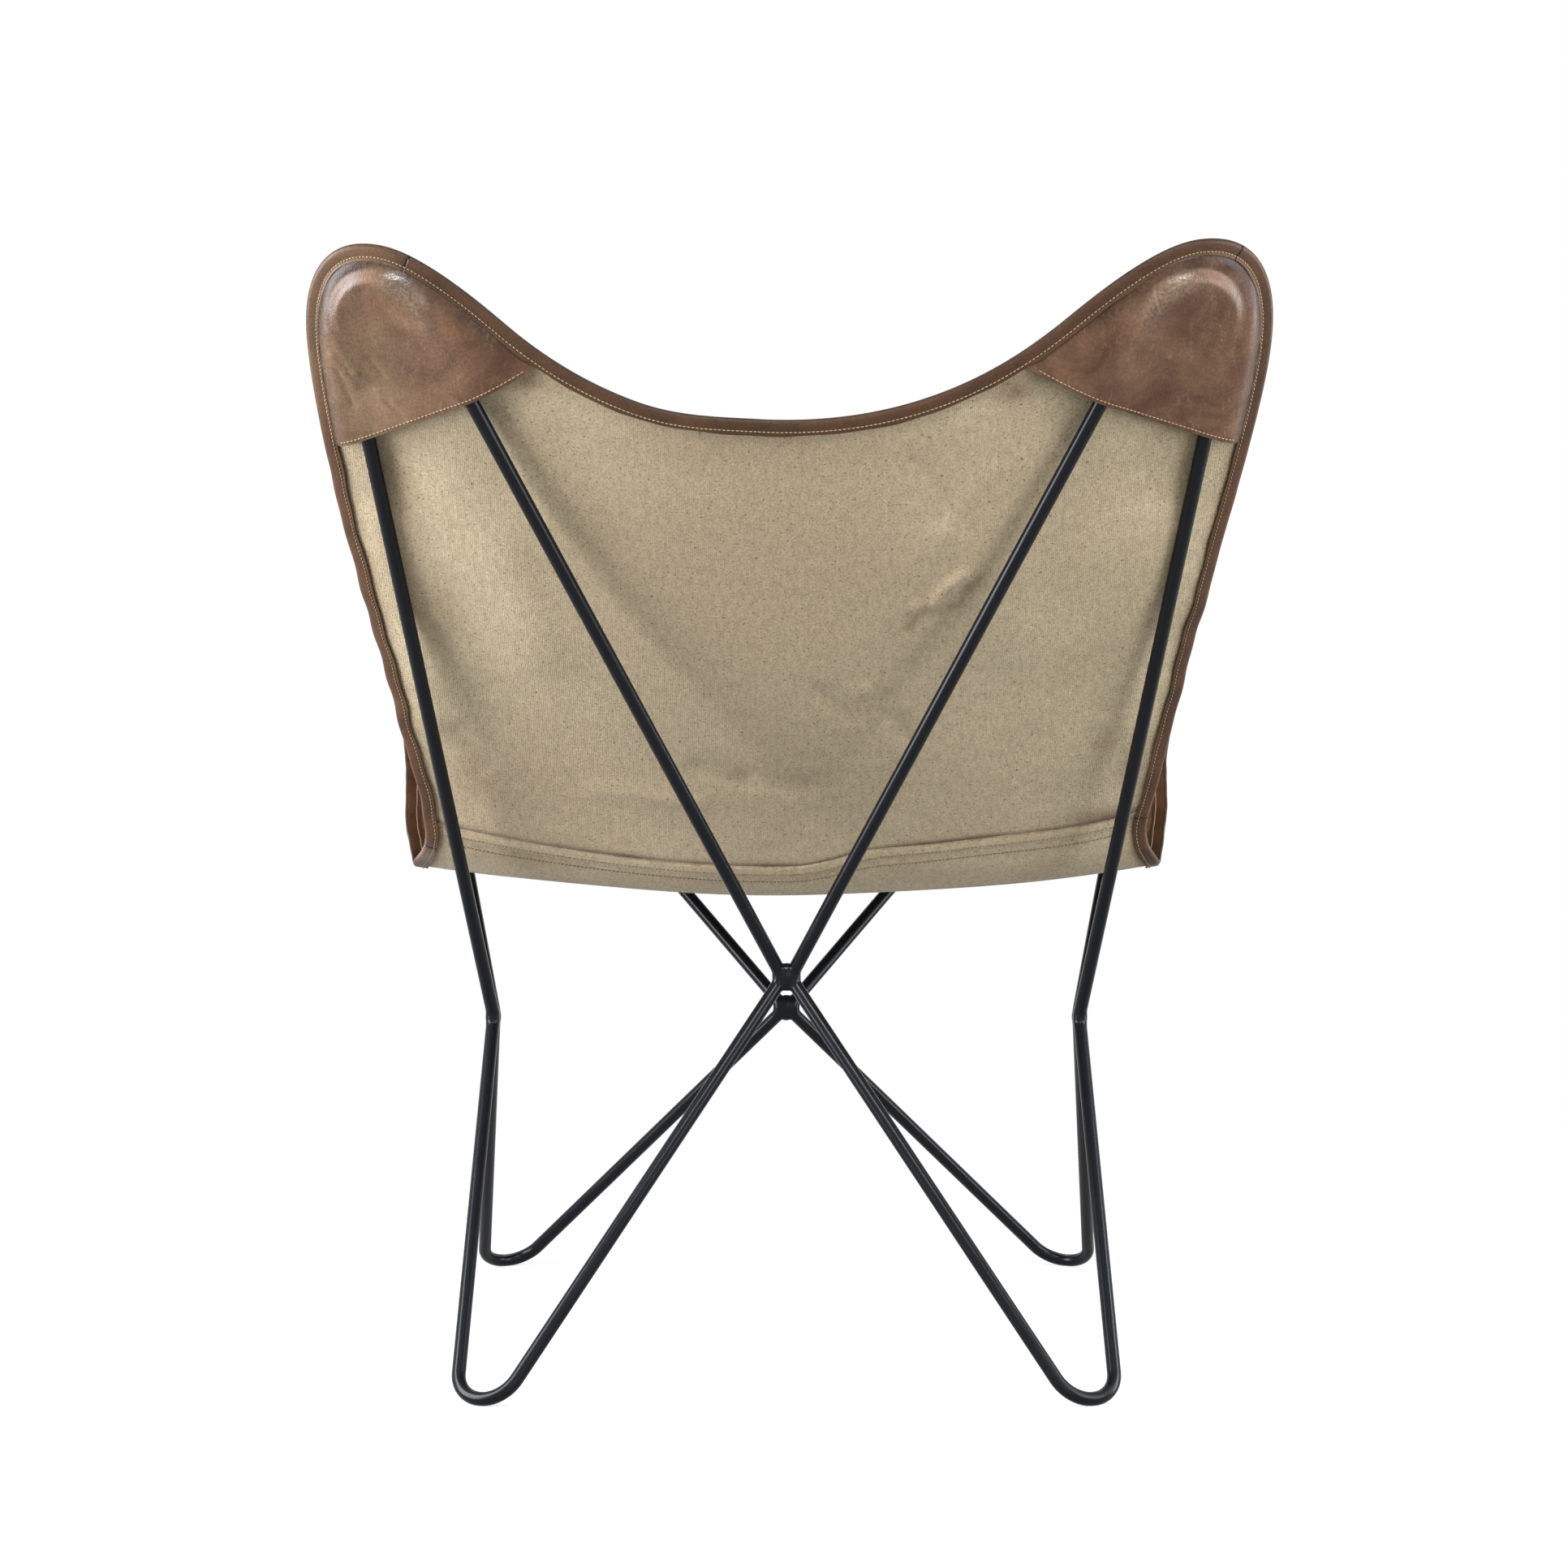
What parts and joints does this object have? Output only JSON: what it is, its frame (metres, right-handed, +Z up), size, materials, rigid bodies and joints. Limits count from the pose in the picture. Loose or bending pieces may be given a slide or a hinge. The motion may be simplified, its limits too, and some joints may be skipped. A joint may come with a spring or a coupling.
{
  "type": "butterfly sling chair",
  "caption": "Low lounge chair: a leather sling with canvas backing hangs by its corner pockets on a welded frame of bent black steel rod.",
  "frame": {"origin": "on the floor under the middle of the chair, at the bottom centre of its bounding box", "axes": "+Z up, the sitter faces -Y, +X towards the sitter's left"},
  "size_m": [0.711, 0.7737, 0.8829],
  "materials": {
    "black_powder_coat": "satin black powder coat on round steel bar",
    "brown_leather": "pulled-up vegetable tanned hide, semi-gloss where it is stretched",
    "beige_canvas": "matt plain-woven cotton canvas",
    "dark_leather_edge": "dark brown leather strip, folded and stitched, worn along the fold"
  },
  "bodies": {
    "root": {"rear_left_upper_rod": "black_powder_coat", "rear_left_leg_rod": "black_powder_coat", "front_left_upper_rod": "black_powder_coat", "front_left_leg_rod": "black_powder_coat", "rear_right_upper_rod": "black_powder_coat", "rear_right_leg_rod": "black_powder_coat", "front_right_upper_rod": "black_powder_coat", "front_right_leg_rod": "black_powder_coat", "left_weld": "black_powder_coat", "right_weld": "black_powder_coat", "rear_weld": "black_powder_coat", "front_weld": "black_powder_coat", "rear_left_pocket": "brown_leather", "front_left_pocket": "brown_leather", "rear_right_pocket": "brown_leather", "front_right_pocket": "brown_leather", "back_leather": "brown_leather", "seat_leather": "brown_leather", "back_canvas": "beige_canvas", "seat_canvas": "beige_canvas", "seat_seam_fell": "beige_canvas", "top_binding": "dark_leather_edge", "left_back_binding": "dark_leather_edge", "right_back_binding": "dark_leather_edge", "left_seat_binding": "dark_leather_edge", "right_seat_binding": "dark_leather_edge", "front_binding": "dark_leather_edge"}
  },
  "joints": []
}
